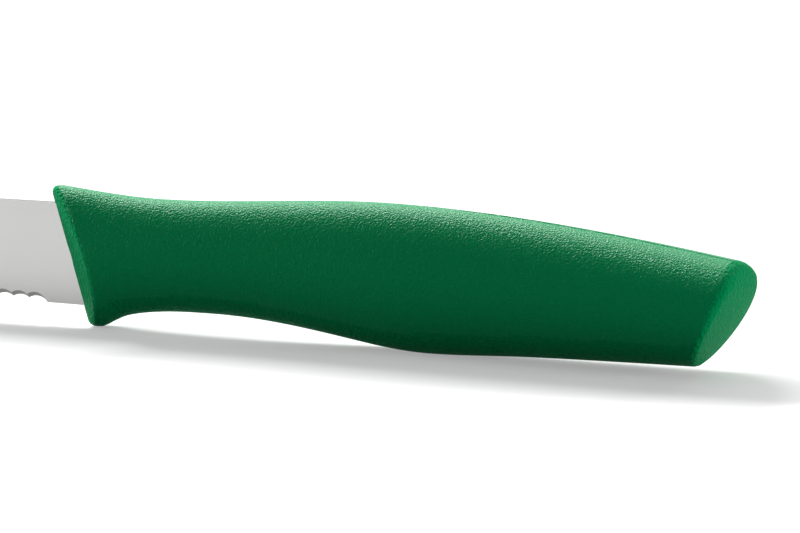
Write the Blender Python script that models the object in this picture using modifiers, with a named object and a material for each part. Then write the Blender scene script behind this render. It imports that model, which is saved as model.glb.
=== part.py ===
"""Serrated paring knife: a stamped steel blade with its tang, in a one-piece moulded handle.

Metres, +Z up, the spine on top. The tip points along -X, the butt of the handle along +X, and
the knife stands on z = 0 on its guard and its belly. The blade and the handle are drawn from the
front of the handle's nose: "behind" is a distance towards the butt, and the blade's own points
lie at negative distances.
"""
import math

import bmesh
import bpy
from mathutils import Matrix, Vector

# Overall lengths
BLADE_LENGTH = 0.100            # from the tip to the front of the nose
HANDLE_LENGTH = 0.110

# The handle seen from the side
NOSE_WALL = 0.00274             # plastic over the blade's spine at the nose
NECK_TOP = 0.0199               # height of the dip where the forefinger's knuckle sits
NECK_TOP_BEHIND = 0.017
CROWN_TOP = 0.0217              # highest point, over the palm
CROWN_BEHIND = 0.054
BUTT_TOP = 0.0166
NOSE_FALL = 0.09                # slope of the back at the nose
BUTT_FALL = 0.15                # slope of the back at the butt
GUARD_BEHIND = 0.0073           # lowest point of the guard, which rests on the table
GUARD_RISE_BEHIND = 0.0096      # where the finger notch leaves the guard
GUARD_RISE_HEIGHT = 0.0009
GUARD_RISE_SLOPE = 0.62
NOTCH_BEHIND = 0.0140           # where the finger notch flattens out
NOTCH_HEIGHT = 0.0025
NOTCH_SLOPE = 0.19
NECK_BEHIND = 0.027             # highest point of the underside
NECK_HEIGHT = 0.00335
BELLY_RISE_BEHIND = 0.049
BELLY_RISE_HEIGHT = 0.0012
BELLY_RISE_SLOPE = 0.155
BELLY_BEHIND = 0.061            # lowest point of the belly, which also rests on the table
REAR_BEHIND = 0.076
REAR_HEIGHT = 0.0006
REAR_SLOPE = 0.035
BUTT_CORNER_AHEAD = 0.007       # the butt's lower corner lies this far ahead of its back
BUTT_CORNER_HEIGHT = 0.00125
BUTT_CORNER_SLOPE = 0.02

# The handle's half thickness, from the nose to the butt
NOSE_HALF = 0.0058
NECK_HALF = 0.0060
BELLY_HALF = 0.0076
BUTT_HALF = 0.0089
NECK_SWELL = 0.02               # half thickness gained per unit of length at the neck
BELLY_SWELL = 0.03              # and at the belly

# The nose: two facets swept back from a leaning ridge
RIDGE_LEAN = 0.30               # how far the ridge runs back per unit of height
RIDGE_ZERO_BELOW = 0.0019       # how far below the nose's top the ridge is at distance 0
NOSE_SWEEP = 0.97               # how far a facet runs back per unit of thickness
NOSE_RIM_ROUND = 0.0009

# The butt: cut off in a slanting curve, slightly domed from side to side
BUTT_REACH_HEIGHT = 0.0143      # height at which the butt reaches furthest back
BUTT_SWEEP = 0.00765            # how far ahead of that it lies at the table's height
BUTT_SWEEP_POWER = 1.45         # 1 is a straight slant, 2 is an even curve
BUTT_DOME = 0.00035
BUTT_RIM_ROUND = 0.0009         # width of the rounded rim at the sides
BUTT_TOP_ROUND = 0.0015         # and at the top, where it is softest

# The blade's stock, ground thinner towards the edge and the tip
STOCK_THICKNESS = 0.0012
EDGE_THICKNESS = 0.0004         # at the heel, before the teeth are ground
TIP_THICKNESS = 0.0004

# The blade's outline
SPINE_HEIGHT = 0.01836          # at the front of the nose
SPINE_FALL = 0.012              # slope of the straight spine towards the tip
SPINE_STRAIGHT = 0.058          # length of that straight stretch
TIP_HEIGHT = 0.0120
TIP_SPINE_FALL = 0.30           # slope of the spine at the tip
HEEL_HEIGHT = 0.0031            # bottom of the unsharpened heel
TEETH_START = 0.0031            # centre of the first scallop, ahead of the nose
TEETH_HEIGHT = 0.0035           # points of the first teeth
TEETH_RISE = 0.021              # slope of the row of teeth towards the tip
TEETH_STRAIGHT = 0.056          # length of that straight stretch
TIP_TEETH_RISE = 0.42           # slope of the row of teeth at the tip
PLAIN_TIP = 0.0035              # length at the tip without teeth
SPARE_AT_TIP = 0.003            # the blank runs this far past the tip before it is ground

# The serration: scallops ground through from the left face
SCALLOP_PITCH = 0.00262
SCALLOP_RADIUS = 0.00225
SCALLOP_DEPTH = 0.00042
GRIND_RISE = 1.45               # how far the grinding wheel climbs per unit of thickness
GRIND_DRIFT = 0.35              # how far it drifts towards the tip per unit of thickness
GRIND_START = -10               # angle in degrees at which the first scallop's arc starts
GRIND_BELOW = 0.004             # how far under the heel the cutter reaches

# The tang, hidden in the handle
HEEL_BEHIND = 0.0085            # the heel's back edge, at the bottom
SHOULDER_BEHIND = 0.0060        # the back edge above the tang
TANG_TOP = 0.0160
TANG_BOTTOM = 0.0072
TANG_END_BEHIND = 0.060
TANG_ROUND = 0.0015             # radius of the corners at its end
KEY_HOLE_RADIUS = 0.0025
KEY_HOLES_BEHIND = (0.022, 0.044)
MOUTH_INSET = 0.0010            # the ground faces run this far into the handle
MOUTH_FADE = 0.0015             # and fade out into the full stock over this length
MOUTH_CLEAR = 0.0005            # an edge across the blade just ahead of the nose

CLEARANCE = 0.0003              # between the tang and the handle moulded round it
POCKET_AHEAD = 0.004            # the pocket's cutter starts this far ahead of the nose

# How finely round shapes are divided
SIDES = 40
RINGS = 48
RING_GRADING = 1.2              # packs the rings closer together at the nose
CAP_RINGS = 5
RIM_SEGMENTS = 3
CURVE_STEPS = 16
ARC_STEPS = 6
HOLE_SIDES = 24
CORNER_STEPS = 4
SHARP_FROM = 35                 # degrees between faces that still look smooth
FLAT_WITHIN = 1                 # degrees within which faces count as one flat face
SAME_POINT = 1e-6               # points closer than this are one
SLOPE_STEP = 1e-5               # distance over which a slope is measured
HALVINGS = 30                   # steps that find where a line meets the nose or the butt

NOSE_TOP = SPINE_HEIGHT + NOSE_WALL
NOSE_X = (BLADE_LENGTH - HANDLE_LENGTH) / 2


def clear_scene():
    for obj in list(bpy.data.objects):
        bpy.data.objects.remove(obj, do_unlink=True)


def new_collection(name):
    collection = bpy.data.collections.new(name)
    bpy.context.scene.collection.children.link(collection)
    return collection


def new_object(name, mesh, collection):
    """An object whose mesh is drawn from the front of the handle's nose."""
    obj = bpy.data.objects.new(name, mesh)
    obj.location.x = NOSE_X
    collection.objects.link(obj)
    return obj


def material(name, colour, roughness, metallic):
    made = bpy.data.materials.new(name)
    made.use_nodes = True
    shader = made.node_tree.nodes["Principled BSDF"]
    shader.inputs["Base Color"].default_value = (*colour, 1.0)
    shader.inputs["Roughness"].default_value = roughness
    shader.inputs["Metallic"].default_value = metallic
    return made


def cut(obj, cutter):
    modifier = obj.modifiers.new(cutter.name, "BOOLEAN")
    modifier.operation = "DIFFERENCE"
    modifier.solver = "EXACT"
    modifier.object = cutter


def hide_cutter(obj):
    obj.hide_render = True
    obj.display_type = "WIRE"


def turn_outwards(mesh):
    """Makes a closed mesh's faces point out: alike first, then by the sign of the volume."""
    bmesh.ops.recalc_face_normals(mesh, faces=mesh.faces)
    if mesh.calc_volume(signed=True) < 0:
        bmesh.ops.reverse_faces(mesh, faces=mesh.faces)


def smooth_line(points, at):
    """Height at a distance, on a line through points given as (distance, height, slope)."""
    if at <= points[0][0]:
        return points[0][1]
    for (start, low, slope_in), (end, high, slope_out) in zip(points, points[1:]):
        if at <= end:
            break
    length = end - start
    u = min(1.0, (at - start) / length)
    return ((2 * u**3 - 3 * u**2 + 1) * low + (u**3 - 2 * u**2 + u) * length * slope_in
            + (3 * u**2 - 2 * u**3) * high + (u**3 - u**2) * length * slope_out)


def handle_top(behind):
    return smooth_line((
        (0.0, NOSE_TOP, -NOSE_FALL),
        (NECK_TOP_BEHIND, NECK_TOP, 0.0),
        (CROWN_BEHIND, CROWN_TOP, 0.0),
        (HANDLE_LENGTH, BUTT_TOP, -BUTT_FALL),
    ), behind)


def handle_bottom(behind):
    """The guard and the belly touch the table, and the finger notch rises between them."""
    return smooth_line((
        (GUARD_BEHIND, 0.0, 0.0),
        (GUARD_RISE_BEHIND, GUARD_RISE_HEIGHT, GUARD_RISE_SLOPE),
        (NOTCH_BEHIND, NOTCH_HEIGHT, NOTCH_SLOPE),
        (NECK_BEHIND, NECK_HEIGHT, 0.0),
        (BELLY_RISE_BEHIND, BELLY_RISE_HEIGHT, -BELLY_RISE_SLOPE),
        (BELLY_BEHIND, 0.0, 0.0),
        (REAR_BEHIND, REAR_HEIGHT, REAR_SLOPE),
        (HANDLE_LENGTH - BUTT_CORNER_AHEAD, BUTT_CORNER_HEIGHT, BUTT_CORNER_SLOPE),
    ), behind)


def handle_half(behind):
    return smooth_line((
        (0.0, NOSE_HALF, 0.0),
        (NECK_BEHIND, NECK_HALF, NECK_SWELL),
        (BELLY_BEHIND, BELLY_HALF, BELLY_SWELL),
        (HANDLE_LENGTH, BUTT_HALF, 0.0),
    ), behind)


def nose_front(y, z):
    """How far back the nose's surface lies at a place on it."""
    return RIDGE_LEAN * (NOSE_TOP - RIDGE_ZERO_BELOW - z) + NOSE_SWEEP * abs(y)


def butt_back(y, z):
    """How far back the butt's surface lies at a place on it."""
    away = abs(BUTT_REACH_HEIGHT - z) / BUTT_REACH_HEIGHT
    fall = BUTT_SWEEP * away ** BUTT_SWEEP_POWER
    return HANDLE_LENGTH - fall - BUTT_DOME * (y / BUTT_HALF) ** 2


def section_point(behind, angle):
    """A point on the handle's oval section, by its angle from the top."""
    top = handle_top(behind)
    bottom = handle_bottom(behind)
    y = handle_half(behind) * math.sin(angle)
    z = (top + bottom) / 2 + (top - bottom) / 2 * math.cos(angle)
    return y, z


def end_distance(surface, angle):
    """Where the section's line at this angle meets the nose's or the butt's surface."""
    behind = surface(0.0, (NECK_TOP + NECK_HEIGHT) / 2)
    for _ in range(HALVINGS):
        behind = (behind + surface(*section_point(behind, angle))) / 2
    return behind


def add_cap(mesh, rim, surface, outwards):
    """Closes one end with shrinking rings that lie on the end's surface."""
    middle = sum(v.co.z for v in rim) / len(rim)
    outer = rim
    for step in range(CAP_RINGS - 1, 0, -1):
        share = step / CAP_RINGS
        inner = []
        for vert in rim:
            y = vert.co.y * share
            z = middle + (vert.co.z - middle) * share
            inner.append(mesh.verts.new((surface(y, z), y, z)))
        join_rings(mesh, outer, inner, outwards)
        outer = inner
    centre = mesh.verts.new((surface(0.0, middle), 0.0, middle))
    for i, vert in enumerate(outer):
        following = outer[(i + 1) % len(outer)]
        corners = (vert, following, centre)
        mesh.faces.new(corners if outwards else corners[::-1])


def join_rings(mesh, first, second, outwards):
    for i, vert in enumerate(first):
        j = (i + 1) % len(first)
        corners = (vert, first[j], second[j], second[i])
        mesh.faces.new(corners if outwards else corners[::-1])


def make_handle(collection):
    """A loft of oval sections between the swept nose and the rounded butt."""
    mesh = bmesh.new()
    angles = [2 * math.pi * i / SIDES for i in range(SIDES)]
    fronts = [end_distance(nose_front, angle) for angle in angles]
    backs = [end_distance(butt_back, angle) for angle in angles]
    rings = []
    for step in range(RINGS + 1):
        share = (step / RINGS) ** RING_GRADING
        ring = []
        for angle, front, back in zip(angles, fronts, backs):
            behind = front + (back - front) * share
            ring.append(mesh.verts.new((behind, *section_point(behind, angle))))
        rings.append(ring)
    for first, second in zip(rings, rings[1:]):
        join_rings(mesh, first, second, True)
    add_cap(mesh, rings[0], nose_front, False)
    add_cap(mesh, rings[-1], butt_back, True)
    turn_outwards(mesh)

    widest = max(NOSE_RIM_ROUND, BUTT_RIM_ROUND, BUTT_TOP_ROUND)
    weights = mesh.edges.layers.float.new("bevel_weight_edge")
    for i, angle in enumerate(angles):
        upwards = max(0.0, math.cos(angle + math.pi / SIDES))
        butt_round = BUTT_RIM_ROUND + (BUTT_TOP_ROUND - BUTT_RIM_ROUND) * upwards**2
        for ring, width in ((rings[0], NOSE_RIM_ROUND), (rings[-1], butt_round)):
            edge = mesh.edges.get((ring[i], ring[(i + 1) % SIDES]))
            edge[weights] = width / widest
    data = bpy.data.meshes.new("handle")
    mesh.to_mesh(data)
    mesh.free()
    data.shade_smooth()
    data.set_sharp_from_angle(angle=math.radians(SHARP_FROM))
    handle = new_object("handle", data, collection)
    rounding = handle.modifiers.new("rims", "BEVEL")
    rounding.limit_method = "WEIGHT"
    rounding.width = widest
    rounding.segments = RIM_SEGMENTS
    return handle


def spine_height(behind):
    """Straight from the handle, then falling in one curve to the tip."""
    straight_end = SPINE_HEIGHT - SPINE_FALL * SPINE_STRAIGHT
    if behind >= -SPINE_STRAIGHT:
        return SPINE_HEIGHT + SPINE_FALL * behind
    return smooth_line((
        (-BLADE_LENGTH, TIP_HEIGHT, TIP_SPINE_FALL),
        (-SPINE_STRAIGHT, straight_end, SPINE_FALL),
    ), behind)


def teeth_height(behind):
    """The line of the teeth's points: straight from the heel, then rising to the tip."""
    straight_start = -TEETH_START - TEETH_STRAIGHT
    if behind >= straight_start:
        return TEETH_HEIGHT - TEETH_RISE * (behind + TEETH_START)
    return smooth_line((
        (-BLADE_LENGTH, TIP_HEIGHT, -TIP_TEETH_RISE),
        (straight_start, TEETH_HEIGHT + TEETH_RISE * TEETH_STRAIGHT, -TEETH_RISE),
    ), behind)


def tang_corners(grow):
    """The tang's lower and upper corners at its end, rounded, going up the back."""
    end = TANG_END_BEHIND + grow
    radius = TANG_ROUND + grow
    points = []
    for height, first in ((TANG_BOTTOM - grow, -90), (TANG_TOP + grow, 0)):
        centre_z = height + radius if first < 0 else height - radius
        for step in range(CORNER_STEPS + 1):
            angle = math.radians(first + 90 * step / CORNER_STEPS)
            points.append((end - radius + radius * math.cos(angle),
                           centre_z + radius * math.sin(angle)))
    return points


def heel_and_tang(grow):
    """The outline inside the handle, from the heel's bottom round the tang to the spine."""
    return [
        (HEEL_BEHIND + grow, HEEL_HEIGHT - grow),
        (HEEL_BEHIND + grow, TANG_BOTTOM - grow),
        *tang_corners(grow),
        (SHOULDER_BEHIND + grow, TANG_TOP + grow),
        (SHOULDER_BEHIND + grow, spine_height(SHOULDER_BEHIND) + grow),
    ]


def past_the_tip(start):
    """Where a straight line from a point through the blade's tip ends, a little beyond it."""
    tip = Vector((-BLADE_LENGTH, TIP_HEIGHT))
    line = tip - Vector(start)
    return tuple(tip + line * (SPARE_AT_TIP / line.length))


def blade_outline():
    """The stamped blank: the tang, the spine past the tip, and a plain edge under the teeth."""
    spare = TEETH_HEIGHT - HEEL_HEIGHT
    points = heel_and_tang(0.0)
    points.append((-SPINE_STRAIGHT, spine_height(-SPINE_STRAIGHT)))
    curve = BLADE_LENGTH - SPINE_STRAIGHT
    for step in range(1, CURVE_STEPS):
        behind = -SPINE_STRAIGHT - curve * step / CURVE_STEPS
        points.append((behind, spine_height(behind)))
    points.append(past_the_tip(points[-1]))
    start = -TEETH_START - TEETH_STRAIGHT
    for step in range(CURVE_STEPS + 1):
        behind = -BLADE_LENGTH + (BLADE_LENGTH + start) * step / CURVE_STEPS
        points.append((behind, teeth_height(behind) - spare))
    points.append((-TEETH_START, HEEL_HEIGHT))
    return points


def scallop_centres():
    """Centres of the grinding wheel along the row of teeth, with its direction of cut."""
    centres = []
    behind = -TEETH_START
    while behind > -BLADE_LENGTH + PLAIN_TIP:
        rise = teeth_height(behind + SLOPE_STEP) - teeth_height(behind - SLOPE_STEP)
        slope = rise / (2 * SLOPE_STEP)
        along = Vector((-1.0, -slope)).normalized()
        inwards = Vector((-slope, 1.0)).normalized()
        point = Vector((behind, teeth_height(behind)))
        centres.append((point - inwards * (SCALLOP_RADIUS - SCALLOP_DEPTH), inwards))
        behind += along.x * SCALLOP_PITCH
    return centres


def cusp(first, second):
    """Where two neighbouring scallops meet, which is the point of a tooth."""
    between = second[0] - first[0]
    height = math.sqrt(SCALLOP_RADIUS**2 - between.length_squared / 4)
    up = Vector((between.y, -between.x)).normalized()
    if up.dot(first[1]) < 0:
        up = -up
    return (first[0] + second[0]) / 2 + up * height


def grinding_outline():
    """Everything under the finished edge: the row of scallops, then the plain tip."""
    centres = scallop_centres()
    below = HEEL_HEIGHT - GRIND_BELOW
    points = []
    for i, (centre, inwards) in enumerate(centres):
        if i == 0:
            first = math.radians(GRIND_START)
        else:
            arm = cusp(centres[i - 1], centres[i]) - centre
            first = math.atan2(arm.y, arm.x)
        if i == len(centres) - 1:
            arm = inwards * SCALLOP_RADIUS
            turned = math.acos(1 - SCALLOP_DEPTH / SCALLOP_RADIUS)
            last = math.atan2(arm.y, arm.x) + turned
        else:
            arm = cusp(centres[i], centres[i + 1]) - centre
            last = math.atan2(arm.y, arm.x)
        steps = ARC_STEPS * 2 if i == 0 else ARC_STEPS
        for step in range(0 if i == 0 else 1, steps + 1):
            angle = first + (last - first) * step / steps
            points.append((centre.x + SCALLOP_RADIUS * math.cos(angle),
                           centre.y + SCALLOP_RADIUS * math.sin(angle)))
    points.append(past_the_tip(points[-1]))
    points.append((points[-1][0] - SPARE_AT_TIP, below))
    points.append((points[0][0], below))
    return points


def flat_solid(name, outlines, half, collection):
    """A flat plate of one thickness, as a mesh: the first outline, with the others as holes."""
    curve = bpy.data.curves.new(name, "CURVE")
    curve.dimensions = "2D"
    curve.fill_mode = "BOTH"
    curve.extrude = half
    for outline in outlines:
        spline = curve.splines.new("POLY")
        spline.points.add(len(outline) - 1)
        for point, (x, z) in zip(spline.points, outline):
            point.co = (x, z, 0.0, 1.0)
        spline.use_cyclic_u = True
    drawn = bpy.data.objects.new(name + "_outline", curve)
    bpy.context.scene.collection.objects.link(drawn)
    bpy.context.view_layer.update()
    evaluated = drawn.evaluated_get(bpy.context.evaluated_depsgraph_get())
    data = bpy.data.meshes.new_from_object(evaluated)
    data.name = name
    bpy.data.objects.remove(drawn, do_unlink=True)
    mesh = bmesh.new()
    mesh.from_mesh(data)
    bmesh.ops.remove_doubles(mesh, verts=mesh.verts, dist=SAME_POINT)
    upright = Matrix.Rotation(math.radians(90), 4, "X")
    bmesh.ops.transform(mesh, matrix=upright, verts=mesh.verts)
    bmesh.ops.dissolve_limit(mesh, angle_limit=math.radians(FLAT_WITHIN), verts=mesh.verts,
                             edges=mesh.edges)
    turn_outwards(mesh)
    mesh.to_mesh(data)
    mesh.free()
    return new_object(name, data, collection)


def circle(behind, height, radius):
    return [(behind + radius * math.cos(2 * math.pi * i / HOLE_SIDES),
             height + radius * math.sin(2 * math.pi * i / HOLE_SIDES))
            for i in range(HOLE_SIDES)]


def key_circles(radius):
    height = (TANG_TOP + TANG_BOTTOM) / 2
    return [circle(behind, height, radius) for behind in KEY_HOLES_BEHIND]


def ground_half(behind, z):
    """Half the thickness left by the flat grind: an even slope to the edge and to the tip."""
    full = STOCK_THICKNESS / 2
    down = (full - EDGE_THICKNESS / 2) / (SPINE_HEIGHT - HEEL_HEIGHT)
    at_tip = full + down * (TIP_HEIGHT - SPINE_HEIGHT)
    along = (at_tip - TIP_THICKNESS / 2) / BLADE_LENGTH
    return full + down * (z - SPINE_HEIGHT) + along * behind


def grind_faces(blade):
    """Thins the plate towards the edge and the tip, and fades the grind out inside the handle."""
    mesh = bmesh.new()
    mesh.from_mesh(blade.data)
    across = Vector((1.0, 0.0, RIDGE_LEAN)).normalized()
    fade_start = nose_front(0.0, 0.0) + MOUTH_INSET
    fade_end = fade_start + MOUTH_FADE
    for reach in (nose_front(0.0, 0.0) - MOUTH_CLEAR, fade_start, fade_end):
        everything = mesh.verts[:] + mesh.edges[:] + mesh.faces[:]
        bmesh.ops.bisect_plane(mesh, geom=everything, plane_co=(reach, 0.0, 0.0),
                               plane_no=across, dist=SAME_POINT)
    for vert in mesh.verts:
        side = math.copysign(1.0, vert.co.y)
        reach = vert.co.x + RIDGE_LEAN * vert.co.z
        faded = min(1.0, max(0.0, (reach - fade_start) / (fade_end - fade_start)))
        ground = min(STOCK_THICKNESS / 2, ground_half(vert.co.x, vert.co.z))
        vert.co.y = side * (ground + (STOCK_THICKNESS / 2 - ground) * faded)
    mesh.to_mesh(blade.data)
    mesh.free()


def make_blade(collection, cutters):
    outlines = [blade_outline(), *key_circles(KEY_HOLE_RADIUS)]
    blade = flat_solid("blade", outlines, STOCK_THICKNESS / 2, collection)
    grind_faces(blade)
    wheel = flat_solid("serration", [grinding_outline()], STOCK_THICKNESS, cutters)
    lean = Matrix.Identity(4)
    lean[2][1] = -GRIND_RISE
    lean[0][1] = GRIND_DRIFT
    far_edge = Matrix.Translation((0.0, EDGE_THICKNESS / 2, 0.0))
    wheel.data.transform(far_edge @ lean @ far_edge.inverted())
    cut(blade, wheel)
    hide_cutter(wheel)
    return blade


def make_pocket(cutters):
    """The room that the tang takes up in the handle, less the keys through its holes."""
    outline = heel_and_tang(CLEARANCE)
    outline.append((-POCKET_AHEAD, spine_height(-POCKET_AHEAD) + CLEARANCE))
    outline.append((-POCKET_AHEAD, HEEL_HEIGHT - CLEARANCE))
    half = STOCK_THICKNESS / 2 + CLEARANCE
    keys = key_circles(KEY_HOLE_RADIUS - CLEARANCE)
    pocket = flat_solid("tang_pocket", [outline, *keys], half, cutters)
    hide_cutter(pocket)
    return pocket


def build():
    clear_scene()
    knife = new_collection("serrated_paring_knife")
    cutters = new_collection("cutters")
    steel = material("stainless_steel", colour=(0.60, 0.60, 0.59), roughness=0.32, metallic=1.0)
    green = material("green_polypropylene", colour=(0.004, 0.105, 0.033), roughness=0.45,
                     metallic=0.0)

    blade = make_blade(knife, cutters)
    blade.data.materials.append(steel)

    handle = make_handle(knife)
    cut(handle, make_pocket(cutters))
    handle.data.materials.append(green)


build()
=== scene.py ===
import math

import bmesh
import bpy
from mathutils import Matrix, Vector


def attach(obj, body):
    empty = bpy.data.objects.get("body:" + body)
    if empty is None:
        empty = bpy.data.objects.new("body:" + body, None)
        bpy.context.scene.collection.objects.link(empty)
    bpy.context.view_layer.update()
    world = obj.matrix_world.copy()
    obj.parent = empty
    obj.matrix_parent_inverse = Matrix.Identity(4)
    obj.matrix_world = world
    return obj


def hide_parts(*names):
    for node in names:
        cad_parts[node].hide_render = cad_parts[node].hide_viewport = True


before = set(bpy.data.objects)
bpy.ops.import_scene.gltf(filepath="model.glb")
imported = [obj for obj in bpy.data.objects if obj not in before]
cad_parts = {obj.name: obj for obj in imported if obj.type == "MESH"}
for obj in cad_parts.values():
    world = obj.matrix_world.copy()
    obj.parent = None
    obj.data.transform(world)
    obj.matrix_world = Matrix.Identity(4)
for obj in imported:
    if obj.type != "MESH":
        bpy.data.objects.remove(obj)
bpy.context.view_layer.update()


# Camera
# A long lens looks at the knife's left side from a little above and from beyond its butt.
# It leans over by a fraction of a degree, as the photograph does.
CAMERA_AZIMUTH = 23.6
CAMERA_ELEVATION = 10.4
CAMERA_ROLL = -0.244
CAMERA_DISTANCE = 1.0073
CAMERA_LENS = 310.5
CAMERA_SENSOR = 36
CLIP_NEAR = 0.05
CLIP_FAR = 20
AIM = Vector((0.05126, 0.0, 0.01248))

azimuth = math.radians(CAMERA_AZIMUTH)
elevation = math.radians(CAMERA_ELEVATION)
towards_camera = Vector((
    math.sin(azimuth) * math.cos(elevation),
    -math.cos(azimuth) * math.cos(elevation),
    math.sin(elevation),
))
bpy.ops.object.select_all(action="DESELECT")
bpy.ops.object.camera_add(location=AIM + towards_camera * CAMERA_DISTANCE)
camera = bpy.context.object
camera.name = "camera"
camera.rotation_mode = "QUATERNION"
roll = Matrix.Rotation(math.radians(CAMERA_ROLL), 3, "Z").to_quaternion()
camera.rotation_quaternion = (-towards_camera).to_track_quat("-Z", "Y") @ roll
camera.data.sensor_width = CAMERA_SENSOR
camera.data.lens = CAMERA_LENS
camera.data.clip_start = CLIP_NEAR
camera.data.clip_end = CLIP_FAR
bpy.context.scene.camera = camera
bpy.context.scene.view_settings.view_transform = "Standard"


# Lamps and room
# A long narrow strip, above and behind and well towards the tip, draws the bright band along
# the handle's back. A wide soft box lower down behind it spreads the shadow forward. A small
# box beyond each end lights the nose and the butt.
KNIFE_MIDDLE = Vector((0.05, 0.0, 0.01))
STRIP_WATTS = 19.0
STRIP_SIZE = (0.7, 0.08)
STRIP_PLACE = Vector((-0.56, 0.54, 0.69))
LOW_BOX_WATTS = 5.0
LOW_BOX_SIZE = (0.9, 0.5)
LOW_BOX_PLACE = Vector((0.05, 0.78, 0.58))
END_BOX_SIZE = (0.30, 0.24)
LEFT_BOX_WATTS = 2.7
LEFT_BOX_PLACE = Vector((-0.58, 0.01, 0.12))
RIGHT_BOX_WATTS = 2.3
RIGHT_BOX_PLACE = Vector((0.75, -0.05, 0.12))
ROOM_LIGHT = 0.21


def add_soft_box(name, place, size, watts):
    """A rectangular area lamp that faces the knife."""
    facing = (KNIFE_MIDDLE - place).to_track_quat("-Z", "Y")
    bpy.ops.object.light_add(type="AREA", location=place, rotation=facing.to_euler())
    box = bpy.context.object
    box.name = name
    box.data.shape = "RECTANGLE"
    box.data.size, box.data.size_y = size
    box.data.energy = watts


add_soft_box("overhead_strip", STRIP_PLACE, STRIP_SIZE, STRIP_WATTS)
add_soft_box("low_box", LOW_BOX_PLACE, LOW_BOX_SIZE, LOW_BOX_WATTS)
add_soft_box("left_box", LEFT_BOX_PLACE, END_BOX_SIZE, LEFT_BOX_WATTS)
add_soft_box("right_box", RIGHT_BOX_PLACE, END_BOX_SIZE, RIGHT_BOX_WATTS)


def add_node(tree, kind, settings=None, **links):
    """Adds a shader node, sets its properties and inputs, and links its inputs to sockets."""
    node = tree.nodes.new(kind)
    for name, value in (settings or {}).items():
        if name in node.inputs:
            node.inputs[name].default_value = value
        else:
            setattr(node, name, value)
    for name, socket in links.items():
        tree.links.new(socket, node.inputs[name.replace("_", " ")])
    return node


def mix_for_background(tree, plain, background):
    """One shader for light that bounces, another for what the camera, gloss and glass see."""
    ray = add_node(tree, "ShaderNodeLightPath")
    either = add_node(tree, "ShaderNodeMath", {"operation": "MAXIMUM"})
    tree.links.new(ray.outputs["Is Camera Ray"], either.inputs[0])
    tree.links.new(ray.outputs["Is Glossy Ray"], either.inputs[1])
    seen = add_node(tree, "ShaderNodeMath", {"operation": "MAXIMUM"})
    tree.links.new(either.outputs[0], seen.inputs[0])
    tree.links.new(ray.outputs["Is Transmission Ray"], seen.inputs[1])
    mixed = add_node(tree, "ShaderNodeMixShader", Fac=seen.outputs[0])
    tree.links.new(plain, mixed.inputs[1])
    tree.links.new(background, mixed.inputs[2])
    return mixed.outputs[0]


room = bpy.data.worlds.new("pale_room")
bpy.context.scene.world = room
room.use_nodes = True
tree = room.node_tree
tree.nodes.clear()
dim = add_node(tree, "ShaderNodeBackground", {"Strength": ROOM_LIGHT})
white = add_node(tree, "ShaderNodeBackground", {"Strength": 1.0})
surface = mix_for_background(tree, dim.outputs[0], white.outputs[0])
add_node(tree, "ShaderNodeOutputWorld", Surface=surface)


# Floor
# A sheet of white card that takes the knife's shadow. Where the camera or a shiny surface
# sees it, it is white; the light that it throws back on the knife is kept low.
FLOOR_SIZE = 6.0
FLOOR_SEEN = (0.60, 0.60, 0.60, 1.0)
FLOOR_GLOW = 0.34
FLOOR_BOUNCE = (0.28, 0.28, 0.28, 1.0)

bpy.ops.object.select_all(action="DESELECT")
bpy.ops.mesh.primitive_plane_add(size=FLOOR_SIZE, location=(0.0, 0.0, 0.0))
floor = bpy.context.object
floor.name = "floor"
card = bpy.data.materials.new("white_card")
card.use_nodes = True
tree = card.node_tree
tree.nodes.clear()
paper = add_node(tree, "ShaderNodeBsdfDiffuse", {"Color": FLOOR_SEEN})
glow = add_node(tree, "ShaderNodeEmission", {"Strength": FLOOR_GLOW})
lit = add_node(tree, "ShaderNodeAddShader")
tree.links.new(paper.outputs[0], lit.inputs[0])
tree.links.new(glow.outputs[0], lit.inputs[1])
bounce = add_node(tree, "ShaderNodeBsdfDiffuse", {"Color": FLOOR_BOUNCE})
surface = mix_for_background(tree, bounce.outputs[0], lit.outputs[0])
add_node(tree, "ShaderNodeOutputMaterial", Surface=surface)
floor.data.materials.append(card)


# Blade
# A stamping of stainless steel, ground thinner towards its edge and its tip. Its tang, with
# two punched key holes, runs on inside the handle. The teeth are ground in from the left.
BLADE_LENGTH = 0.100
NOSE_X = -0.005                 # front of the handle's nose, from which distances are counted
SPINE_HEIGHT = 0.01836
SPINE_FALL = 0.012
SPINE_STRAIGHT = 0.058
TIP_HEIGHT = 0.0120
TIP_SPINE_FALL = 0.30
HEEL_HEIGHT = 0.0031
TEETH_START = 0.0031
TEETH_HEIGHT = 0.0035
TEETH_RISE = 0.021
TEETH_STRAIGHT = 0.056
TIP_TEETH_RISE = 0.42
PLAIN_TIP = 0.0035
BLANK_SPARE = 0.0004
STOCK_HALF = 0.0006
EDGE_HALF = 0.0002
HEEL_BEHIND = 0.0085
SHOULDER_BEHIND = 0.0060
TANG_TOP = 0.0160
TANG_BOTTOM = 0.0072
TANG_END = 0.060
TANG_ROUND = 0.0015
TANG_ROUND_STEPS = 6
KEY_HOLES = (0.022, 0.044)
KEY_HOLE_RADIUS = 0.0025
KEY_HOLE_POINTS = 24
NOSE_LEAN = 0.30                # the nose leans back by this much for each unit of height
FADE_START = 0.0070             # the ground faces end between these two, inside the handle
FADE_END = 0.0085
CURVE_STEPS = 40
SPARE_STEPS = 8                 # steps from the tip over which the blank's spare metal grows
SAME_PLACE = 1e-6               # two points closer than this are one
STRAIGHT_WITHIN = 1             # degrees of turn below which an outline counts as straight


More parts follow.
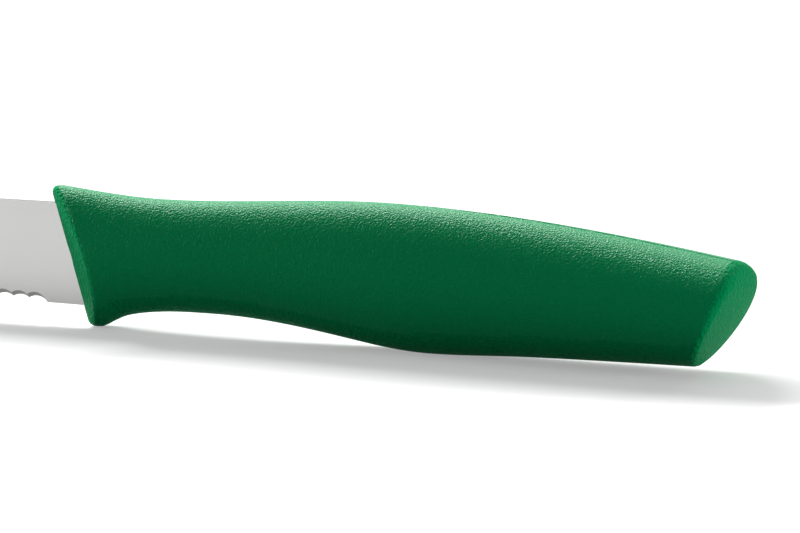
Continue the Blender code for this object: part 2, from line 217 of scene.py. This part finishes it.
def smooth_line(points, at):
    """Height on a smooth line through points that each give a distance, height and slope."""
    if at <= points[0][0]:
        return points[0][1]
    for (start, low, slope_in), (end, high, slope_out) in zip(points, points[1:]):
        if at <= end:
            break
    length = end - start
    u = min(1.0, (at - start) / length)
    return ((2 * u**3 - 3 * u**2 + 1) * low + (u**3 - 2 * u**2 + u) * length * slope_in
            + (3 * u**2 - 2 * u**3) * high + (u**3 - u**2) * length * slope_out)


def spine_height(behind):
    if behind >= -SPINE_STRAIGHT:
        return SPINE_HEIGHT + SPINE_FALL * behind
    return smooth_line((
        (-BLADE_LENGTH, TIP_HEIGHT, TIP_SPINE_FALL),
        (-SPINE_STRAIGHT, SPINE_HEIGHT - SPINE_FALL * SPINE_STRAIGHT, SPINE_FALL),
    ), behind)


def teeth_height(behind):
    straight_end = -TEETH_START - TEETH_STRAIGHT
    if behind >= straight_end:
        return TEETH_HEIGHT - TEETH_RISE * (behind + TEETH_START)
    return smooth_line((
        (-BLADE_LENGTH, TIP_HEIGHT, -TIP_TEETH_RISE),
        (straight_end, TEETH_HEIGHT + TEETH_RISE * TEETH_STRAIGHT, -TEETH_RISE),
    ), behind)


def arc(centre, radius, first, last, steps):
    """Points along an arc in the blade's plane, from one angle in degrees to another."""
    angles = [math.radians(first + (last - first) * i / steps) for i in range(steps + 1)]
    return [(centre[0] + radius * math.cos(a), centre[1] + radius * math.sin(a)) for a in angles]


def tang_outline(grow):
    """From the bottom of the heel round the tang and up to the spine, inside the handle."""
    end = TANG_END + grow
    low = TANG_BOTTOM - grow
    high = TANG_TOP + grow
    radius = TANG_ROUND + grow
    return [
        (HEEL_BEHIND + grow, HEEL_HEIGHT - grow),
        (HEEL_BEHIND + grow, low),
        *arc((end - radius, low + radius), radius, -90, 0, TANG_ROUND_STEPS),
        *arc((end - radius, high - radius), radius, 0, 90, TANG_ROUND_STEPS),
        (SHOULDER_BEHIND + grow, high),
        (SHOULDER_BEHIND + grow, spine_height(SHOULDER_BEHIND) + grow),
    ]


def key_holes(radius):
    height = (TANG_TOP + TANG_BOTTOM) / 2
    last = 360 - 360 / KEY_HOLE_POINTS
    return [arc((behind, height), radius, 0, last, KEY_HOLE_POINTS - 1) for behind in KEY_HOLES]


def beyond_tip(start, reach):
    """A point past the tip, on the straight line from a start through it."""
    tip = Vector((-BLADE_LENGTH, TIP_HEIGHT))
    line = (tip - Vector(start)).normalized()
    return tuple(tip + line * reach)


def select_only(piece):
    """Selects one object and makes it the active one."""
    bpy.ops.object.select_all(action="DESELECT")
    piece.select_set(True)
    bpy.context.view_layer.objects.active = piece


def flat_shape(name, outlines):
    """A flat mesh in the blade's plane, filled inside the first outline and round the rest."""
    curve = bpy.data.curves.new(name, "CURVE")
    curve.dimensions = "2D"
    curve.fill_mode = "BOTH"
    for outline in outlines:
        spline = curve.splines.new("POLY")
        spline.points.add(len(outline) - 1)
        for point, (behind, height) in zip(spline.points, outline):
            point.co = (NOSE_X + behind, height, 0.0, 1.0)
        spline.use_cyclic_u = True
    shape = bpy.data.objects.new(name, curve)
    bpy.context.collection.objects.link(shape)
    select_only(shape)
    bpy.ops.object.convert(target="MESH")
    shape = bpy.context.object
    shape.rotation_euler.x = math.radians(90)
    bpy.ops.object.transform_apply(location=True, rotation=True, scale=True)
    bpy.ops.object.mode_set(mode="EDIT")
    bpy.ops.mesh.select_all(action="SELECT")
    bpy.ops.mesh.remove_doubles(threshold=SAME_PLACE)
    bpy.ops.mesh.dissolve_limited(angle_limit=math.radians(STRAIGHT_WITHIN))
    bpy.ops.object.mode_set(mode="OBJECT")
    return shape


def thicken(shape, start, run):
    """Moves a flat shape to its first face and extrudes it into a closed solid."""
    bpy.ops.object.mode_set(mode="EDIT")
    bpy.ops.mesh.select_all(action="SELECT")
    bpy.ops.transform.translate(value=start)
    bpy.ops.mesh.extrude_region_move(TRANSFORM_OT_translate={"value": run})
    bpy.ops.mesh.select_all(action="SELECT")
    bpy.ops.mesh.normals_make_consistent(inside=False)
    bpy.ops.object.mode_set(mode="OBJECT")


def cut(piece, cutter):
    """Takes the cutter out of the piece, and then removes the cutter."""
    select_only(piece)
    modifier = piece.modifiers.new("cut", "BOOLEAN")
    modifier.operation = "DIFFERENCE"
    modifier.solver = "EXACT"
    modifier.object = cutter
    bpy.ops.object.modifier_apply(modifier=modifier.name)
    bpy.data.objects.remove(cutter, do_unlink=True)


def ground_half(place):
    """Half the thickness at a place: a flat grind on the blade, full stock on the tang."""
    behind = place.x - NOSE_X
    down = (STOCK_HALF - EDGE_HALF) / (SPINE_HEIGHT - HEEL_HEIGHT)
    at_tip = STOCK_HALF + down * (TIP_HEIGHT - SPINE_HEIGHT)
    along = (at_tip - EDGE_HALF) / BLADE_LENGTH
    ground = min(STOCK_HALF, STOCK_HALF + down * (place.z - SPINE_HEIGHT) + along * behind)
    reach = behind + NOSE_LEAN * place.z
    faded = min(1.0, max(0.0, (reach - FADE_START) / (FADE_END - FADE_START)))
    return ground + (STOCK_HALF - ground) * faded


outline = tang_outline(0.0)
outline.append((-SPINE_STRAIGHT, spine_height(-SPINE_STRAIGHT)))
for step in range(1, CURVE_STEPS):
    behind = -SPINE_STRAIGHT - (BLADE_LENGTH - SPINE_STRAIGHT) * step / CURVE_STEPS
    outline.append((behind, spine_height(behind)))
outline.append((-BLADE_LENGTH, TIP_HEIGHT))
teeth_curve = BLADE_LENGTH - TEETH_START - TEETH_STRAIGHT
for step in range(1, CURVE_STEPS + 1):
    behind = -BLADE_LENGTH + teeth_curve * step / CURVE_STEPS
    spare = BLANK_SPARE * min(1.0, step / SPARE_STEPS)
    outline.append((behind, teeth_height(behind) - spare))
outline.append((-TEETH_START, HEEL_HEIGHT))
blade = flat_shape("serrated_blade", [outline, *key_holes(KEY_HOLE_RADIUS)])
thicken(blade, (0.0, -STOCK_HALF, 0.0), (0.0, 2 * STOCK_HALF, 0.0))
bpy.ops.object.mode_set(mode="EDIT")
for reach in (FADE_START, FADE_END):
    bpy.ops.mesh.select_all(action="SELECT")
    bpy.ops.mesh.bisect(plane_co=(NOSE_X + reach, 0.0, 0.0), plane_no=(1.0, 0.0, NOSE_LEAN))
bpy.ops.object.mode_set(mode="OBJECT")
for vertex in blade.data.vertices:
    vertex.co.y = math.copysign(ground_half(vertex.co), vertex.co.y)

# The teeth: one scallop of the wheel after another, each climbing the left face as it cuts.
SCALLOP_PITCH = 0.00262
SCALLOP_RADIUS = 0.00225
SCALLOP_DEPTH = 0.00042
SCALLOP_STEPS = 16
FIRST_ARC_START = -10.0         # degrees; the outer ends of the first and last scallop's arcs
LAST_ARC_END = 115.0
SLOPE_STEP = 1e-5
GRIND_RISE = 1.45
GRIND_DRIFT = 0.35
GRIND_REACH = 0.0012
GRIND_BELOW = 0.004
WHEEL_PAST_TIP = 0.003


def tooth_point(first, second):
    """Where two neighbouring scallops meet."""
    between = second - first
    height = math.sqrt(SCALLOP_RADIUS**2 - between.length_squared / 4)
    up = Vector((between.y, -between.x)).normalized()
    return (first + second) / 2 + (up if up.y > 0 else -up) * height


centres = []
behind = -TEETH_START
while behind > -BLADE_LENGTH + PLAIN_TIP:
    rise = teeth_height(behind + SLOPE_STEP) - teeth_height(behind - SLOPE_STEP)
    slope = rise / (2 * SLOPE_STEP)
    along = Vector((-1.0, -slope)).normalized()
    inwards = Vector((-slope, 1.0)).normalized()
    edge = Vector((behind, teeth_height(behind)))
    centres.append(edge - inwards * (SCALLOP_RADIUS - SCALLOP_DEPTH))
    behind += along.x * SCALLOP_PITCH
ground = []
for i, centre in enumerate(centres):
    first = FIRST_ARC_START
    last = LAST_ARC_END
    if i > 0:
        arm = tooth_point(centres[i - 1], centre) - centre
        first = math.degrees(math.atan2(arm.y, arm.x))
    if i < len(centres) - 1:
        arm = tooth_point(centre, centres[i + 1]) - centre
        last = math.degrees(math.atan2(arm.y, arm.x))
    ground += arc(centre, SCALLOP_RADIUS, first, last, SCALLOP_STEPS)[0 if i == 0 else 1:]
ground.append(beyond_tip(ground[-1], WHEEL_PAST_TIP))
ground.append((ground[-1][0], HEEL_HEIGHT - GRIND_BELOW))
ground.append((ground[0][0], HEEL_HEIGHT - GRIND_BELOW))
wheel = flat_shape("wheel", [ground])
slant = Vector((GRIND_DRIFT, 1.0, -GRIND_RISE))
thicken(wheel, slant * -GRIND_REACH + Vector((0.0, EDGE_HALF, 0.0)), slant * (2 * GRIND_REACH))
cut(blade, wheel)
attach(blade, "root")
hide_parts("blade")


def srgb(code):
    """A hex colour as the linear red, green and blue that a shader takes."""
    parts = [int(code[i:i + 2], 16) / 255 for i in (1, 3, 5)]
    linear = [p / 12.92 if p <= 0.04045 else ((p + 0.055) / 1.055) ** 2.4 for p in parts]
    return (*linear, 1.0)


# Stainless steel, ground across the blade and then finely polished: an even pale grey that
# blurs what it mirrors. The real strokes are too fine to show, so they are drawn coarser, 0.3 mm
# apart, and only as a slight change in the gloss.
GROUND_STEEL = "#B9B9B8"
GROUND_SMOOTHEST = 0.27
GROUND_ROUGHEST = 0.35
STROKE_SPACING = 0.0003
STROKE_STRETCH = 0.04           # scale of the strokes up the blade, against that along it
ground_steel = bpy.data.materials.new("ground_stainless_steel")
ground_steel.use_nodes = True
tree = ground_steel.node_tree
shader = tree.nodes["Principled BSDF"]
shader.inputs["Base Color"].default_value = srgb(GROUND_STEEL)
shader.inputs["Metallic"].default_value = 1.0
place = add_node(tree, "ShaderNodeTexCoord")
across = add_node(tree, "ShaderNodeMapping", {"Scale": (1.0, 1.0, STROKE_STRETCH)},
                  Vector=place.outputs["Object"])
strokes = add_node(tree, "ShaderNodeTexNoise", {"Scale": 1 / STROKE_SPACING, "Detail": 3.0},
                   Vector=across.outputs["Vector"])
spread = add_node(tree, "ShaderNodeMapRange",
                  {"To Min": GROUND_SMOOTHEST, "To Max": GROUND_ROUGHEST},
                  Value=strokes.outputs["Fac"])
tree.links.new(spread.outputs["Result"], shader.inputs["Roughness"])


def plain_steel(name, colour, roughness):
    """A steel of one colour and one roughness."""
    steel = bpy.data.materials.new(name)
    steel.use_nodes = True
    shader = steel.node_tree.nodes["Principled BSDF"]
    shader.inputs["Base Color"].default_value = srgb(colour)
    shader.inputs["Metallic"].default_value = 1.0
    shader.inputs["Roughness"].default_value = roughness
    return steel


# The spine and the tang's top keep the coarse face that the stamping tool left. Its near-black
# grey is painted shade: it draws the dark line along the spine, where bright steel would mirror the
# white room.
sheared_steel_painted_dark = plain_steel("sheared_stainless_steel_painted_dark", "#484847", roughness=0.38)

# The wheel that cuts the teeth leaves their hollows scratched and dull. Their dark grey is painted
# shade: it draws the dark crescents under the pale face, where bright steel would mirror the floor.
wheel_cut_steel_painted_dark = plain_steel("wheel_cut_stainless_steel_painted_dark", "#737372", roughness=0.42)

EDGE_FACE_SIDEWAYS = 0.1        # a face across the stock's thickness points sideways less than this
# Up-facing faces across the stock take the steel painted dark for the spine's painted shade.
PAINTED_DARK_SPINE_FACE_UP = 0.5           # and is on the spine or the tang's top if it points up more than this
# Down-facing hollows take the steel painted dark for the teeth's painted shade.
PAINTED_DARK_HOLLOW_FACE_DOWN = -0.3         # a tooth's hollow points down more steeply than this
blade.data.materials.clear()
for steel in (ground_steel, sheared_steel_painted_dark, wheel_cut_steel_painted_dark):
    blade.data.materials.append(steel)
for polygon in blade.data.polygons:
    across_stock = abs(polygon.normal.y) < EDGE_FACE_SIDEWAYS
    if across_stock and polygon.normal.z > PAINTED_DARK_SPINE_FACE_UP:
        polygon.material_index = 1
    elif not across_stock and polygon.normal.z < PAINTED_DARK_HOLLOW_FACE_DOWN:
        polygon.material_index = 2


# Handle
# One moulding of green polypropylene, round the tang in a two-part mould. Its nose has two
# facets swept back from a leaning ridge, and its butt is cut off in a slant with soft rims.
HANDLE_LENGTH = 0.110
NOSE_WALL = 0.00274             # plastic above the spine at the nose
NOSE_TOP = SPINE_HEIGHT + NOSE_WALL
RIDGE_DROP = 0.0019
RIDGE_ZERO = NOSE_TOP - RIDGE_DROP      # height at which the nose's ridge is at distance zero
NOSE_SWEEP = 0.97
RIDGE_ROUND = 0.00035
NOSE_RIM_ROUND = 0.0009
NOSE_TOP_ROUND = 0.0013         # the nose's rim is softest at its top and its bottom
BUTT_REACH_HEIGHT = 0.0143
BUTT_SWEEP = 0.00765
BUTT_SWEEP_POWER = 1.45
BUTT_HALF = 0.0089
BUTT_DOME = 0.00035
BUTT_RIM_ROUND = 0.0010
BUTT_TOP_ROUND = 0.0019         # the butt's rim is softest at its top
RIM_WIDEST = 0.0022
RIM_SEGMENTS = 5
SIDES = 96
RINGS = 116
CAP_RINGS = 5
MIDDLE_HEIGHT = 0.011
LINE_STEPS = 40                 # steps that close in on where a line meets an end
ON_RIM = 0.99                   # points further out than this on the unit circle are on its rim
SLOT_CLEARANCE = 0.00006
SMOOTH_BELOW = 30               # degrees of turn that are shaded smooth

TOP_LINE = (
    (0.0, NOSE_TOP, -0.09),
    (0.017, 0.0199, 0.0),
    (0.054, 0.0217, 0.0),
    (HANDLE_LENGTH, 0.0166, -0.15),
)
BOTTOM_LINE = (
    (0.0073, 0.0, 0.0),
    (0.0096, 0.0009, 0.62),
    (0.0140, 0.0025, 0.19),
    (0.027, 0.00335, 0.0),
    (0.049, 0.0012, -0.155),
    (0.061, 0.0, 0.0),
    (0.076, 0.0006, 0.035),
    (0.103, 0.00125, 0.02),
)
HALF_THICKNESS = (
    (0.0, 0.0058, 0.0),
    (0.027, 0.0060, 0.02),
    (0.061, 0.0076, 0.03),
    (HANDLE_LENGTH, BUTT_HALF, 0.0),
)


def nose_front(y, z):
    ridge = math.hypot(y, RIDGE_ROUND) - RIDGE_ROUND
    return NOSE_LEAN * (RIDGE_ZERO - z) + NOSE_SWEEP * ridge


def butt_back(y, z):
    swept = BUTT_SWEEP * abs((BUTT_REACH_HEIGHT - z) / BUTT_REACH_HEIGHT) ** BUTT_SWEEP_POWER
    return HANDLE_LENGTH - swept - BUTT_DOME * (y / BUTT_HALF) ** 2


def section_point(behind, angle):
    """A point on the oval section, by its angle from the top."""
    top = smooth_line(TOP_LINE, behind)
    bottom = smooth_line(BOTTOM_LINE, behind)
    half = smooth_line(HALF_THICKNESS, behind)
    return half * math.sin(angle), (top + bottom) / 2 + (top - bottom) / 2 * math.cos(angle)


def end_of_line(surface, angle):
    """Where the line along the handle at this angle meets the nose or the butt."""
    behind = surface(0.0, MIDDLE_HEIGHT)
    for _ in range(LINE_STEPS):
        behind = (behind + surface(*section_point(behind, angle))) / 2
    return behind


bpy.ops.object.select_all(action="DESELECT")
bpy.ops.mesh.primitive_cylinder_add(
    vertices=SIDES, radius=1.0, depth=1.0, end_fill_type="NGON", location=(0.5, 0.0, 0.0),
    rotation=(0.0, math.radians(90), 0.0))
handle = bpy.context.object
handle.name = "moulded_handle"
bpy.ops.object.transform_apply(location=True, rotation=True, scale=True)
bpy.ops.object.mode_set(mode="EDIT")
bpy.ops.mesh.select_all(action="DESELECT")
bpy.ops.mesh.select_mode(type="EDGE")
mesh = bmesh.from_edit_mesh(handle.data)
for edge in mesh.edges:
    edge.select_set(abs(edge.verts[0].co.x - edge.verts[1].co.x) > 0.5)
bmesh.update_edit_mesh(handle.data)
bpy.ops.mesh.subdivide(number_cuts=RINGS - 1)
bpy.ops.mesh.select_mode(type="FACE")
for end in (0.0, 1.0):
    mesh = bmesh.from_edit_mesh(handle.data)
    for face in mesh.faces:
        face.select_set(len(face.verts) > 4 and abs(face.calc_center_median().x - end) < 0.001)
    bmesh.update_edit_mesh(handle.data)
    for ring in range(CAP_RINGS - 1):
        bpy.ops.mesh.inset(thickness=1.0 / CAP_RINGS)
    bpy.ops.mesh.poke()
bpy.ops.object.mode_set(mode="OBJECT")

rims = {}
for vertex in handle.data.vertices:
    share, y, z = vertex.co
    angle = math.atan2(y, z)
    out = math.hypot(y, z)
    front = end_of_line(nose_front, angle)
    back = end_of_line(butt_back, angle)
    ring = round(share * RINGS)
    behind = front
    if ring == RINGS:
        behind = back
    elif ring > 0:
        clear = (ring - 1) / (RINGS - 2)
        behind = front + RIM_WIDEST + (back - front - 2 * RIM_WIDEST) * clear
    if out > ON_RIM:
        y, z = section_point(behind, angle)
        if ring == 0:
            upright = math.cos(angle) ** 2
            rims[vertex.index] = NOSE_RIM_ROUND + (NOSE_TOP_ROUND - NOSE_RIM_ROUND) * upright
        elif ring == RINGS:
            upwards = max(0.0, math.cos(angle))
            rims[vertex.index] = BUTT_RIM_ROUND + (BUTT_TOP_ROUND - BUTT_RIM_ROUND) * upwards**2
    else:
        surface = nose_front if ring == 0 else butt_back
        y, z = section_point(behind, angle)
        top = section_point(end_of_line(surface, 0.0), 0.0)[1]
        bottom = section_point(end_of_line(surface, math.pi), math.pi)[1]
        middle = (top + bottom) / 2
        y, z = y * out, middle + (z - middle) * out
        behind = surface(y, z)
    vertex.co = (NOSE_X + behind, y, z)

# A rim's radius is set at each point, so the sharper the corner there, the wider the band.
mesh = bmesh.new()
mesh.from_mesh(handle.data)
weights = mesh.edges.layers.float.new("bevel_weight_edge")
for edge in mesh.edges:
    first, second = edge.verts[0].index, edge.verts[1].index
    if first in rims and second in rims and len(edge.link_faces) == 2:
        turn = edge.calc_face_angle()
        edge[weights] = min(1.0, rims[first] * math.tan(turn / 2) / RIM_WIDEST)
mesh.to_mesh(handle.data)
mesh.free()
select_only(handle)
rounding = handle.modifiers.new("rims", "BEVEL")
rounding.limit_method = "WEIGHT"
rounding.offset_type = "OFFSET"
rounding.width = RIM_WIDEST
rounding.segments = RIM_SEGMENTS
bpy.ops.object.modifier_apply(modifier=rounding.name)

# The two halves of the mould meet along the middle, and leave a hair of plastic there.
PARTING_HALF_WIDTH = 0.00013
PARTING_PROUD = 0.00009
PARTING_STARTS = 0.055
PARTING_FULL = 0.070
bpy.ops.object.mode_set(mode="EDIT")
bpy.ops.mesh.select_all(action="SELECT")
bpy.ops.mesh.normals_make_consistent(inside=False)
for side in (-1.0, 1.0):
    bpy.ops.mesh.select_all(action="SELECT")
    bpy.ops.mesh.bisect(plane_co=(0.0, side * PARTING_HALF_WIDTH, 0.0), plane_no=(0.0, 1.0, 0.0))
mesh = bmesh.from_edit_mesh(handle.data)
mesh.normal_update()
for vertex in mesh.verts:
    grown = (vertex.co.x - NOSE_X - PARTING_STARTS) / (PARTING_FULL - PARTING_STARTS)
    if abs(vertex.co.y) < SAME_PLACE and grown > 0:
        trimmed = 1.0 - abs(vertex.normal.x)        # the line is all but trimmed off on the butt
        vertex.co += vertex.normal * PARTING_PROUD * min(1.0, grown) * trimmed
        vertex.co.z = max(0.0, vertex.co.z)
bmesh.update_edit_mesh(handle.data)
bpy.ops.object.mode_set(mode="OBJECT")

# The slot and pocket that the blade's heel and tang fill, open at the nose.
POCKET_FRONT = -0.004
pocket_outline = tang_outline(SLOT_CLEARANCE)
pocket_outline.append((POCKET_FRONT, spine_height(POCKET_FRONT) + SLOT_CLEARANCE))
pocket_outline.append((POCKET_FRONT, HEEL_HEIGHT - SLOT_CLEARANCE))
pocket = flat_shape("pocket", [pocket_outline, *key_holes(KEY_HOLE_RADIUS - SLOT_CLEARANCE)])
pocket_half = STOCK_HALF + SLOT_CLEARANCE
thicken(pocket, (0.0, -pocket_half, 0.0), (0.0, 2 * pocket_half, 0.0))
cut(handle, pocket)
bpy.ops.object.shade_smooth_by_angle(angle=math.radians(SMOOTH_BELOW))
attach(handle, "root")
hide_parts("handle")

GREEN = "#008E54"
POLYPROPYLENE_IOR = 1.49
GLOSS_TINT = (0.7, 1.0, 0.9, 1.0)


def green_polypropylene(name, roughness, level, grain_width, grain_height):
    """The handle's green plastic, with its gloss and the size of its moulded grain."""
    plastic = bpy.data.materials.new(name)
    plastic.use_nodes = True
    tree = plastic.node_tree
    shader = tree.nodes["Principled BSDF"]
    shader.inputs["Base Color"].default_value = srgb(GREEN)
    shader.inputs["Roughness"].default_value = roughness
    shader.inputs["IOR"].default_value = POLYPROPYLENE_IOR
    shader.inputs["Specular IOR Level"].default_value = level
    shader.inputs["Specular Tint"].default_value = GLOSS_TINT
    place = add_node(tree, "ShaderNodeTexCoord")
    grains = add_node(tree, "ShaderNodeTexNoise",
                      {"Scale": 1 / grain_width, "Detail": 1.0, "Roughness": 0.5},
                      Vector=place.outputs["Object"])
    bump = add_node(tree, "ShaderNodeBump", {"Strength": 1.0, "Distance": grain_height},
                    Height=grains.outputs["Fac"])
    tree.links.new(bump.outputs["Normal"], shader.inputs["Normal"])
    return plastic


# Polypropylene, moulded against spark-eroded steel: low round grains about a third of a
# millimetre across, as coarse as they look in the photograph, which sparkle only where the
# light grazes them.
grained_plastic = green_polypropylene(
    "grained_green_polypropylene", roughness=0.38, level=0.05,
    grain_width=0.00032, grain_height=0.00017)

# The same plastic on the nose's facets, the butt and the underside, where it looks duller:
# its coarser grain mottles it a little, and hardly any of the white room shows in it.
dull_plastic = green_polypropylene(
    "dull_green_polypropylene", roughness=0.5, level=0.012,
    grain_width=0.00050, grain_height=0.00042)

END_FACE_LENGTHWISE = 0.25      # the facets and the butt point along the handle more than this
UNDERSIDE_DOWN = -0.5           # the underside points down more steeply than this
handle.data.materials.clear()
handle.data.materials.append(grained_plastic)
handle.data.materials.append(dull_plastic)
for polygon in handle.data.polygons:
    on_end = abs(polygon.normal.x) > END_FACE_LENGTHWISE
    polygon.material_index = 1 if on_end or polygon.normal.z < UNDERSIDE_DOWN else 0
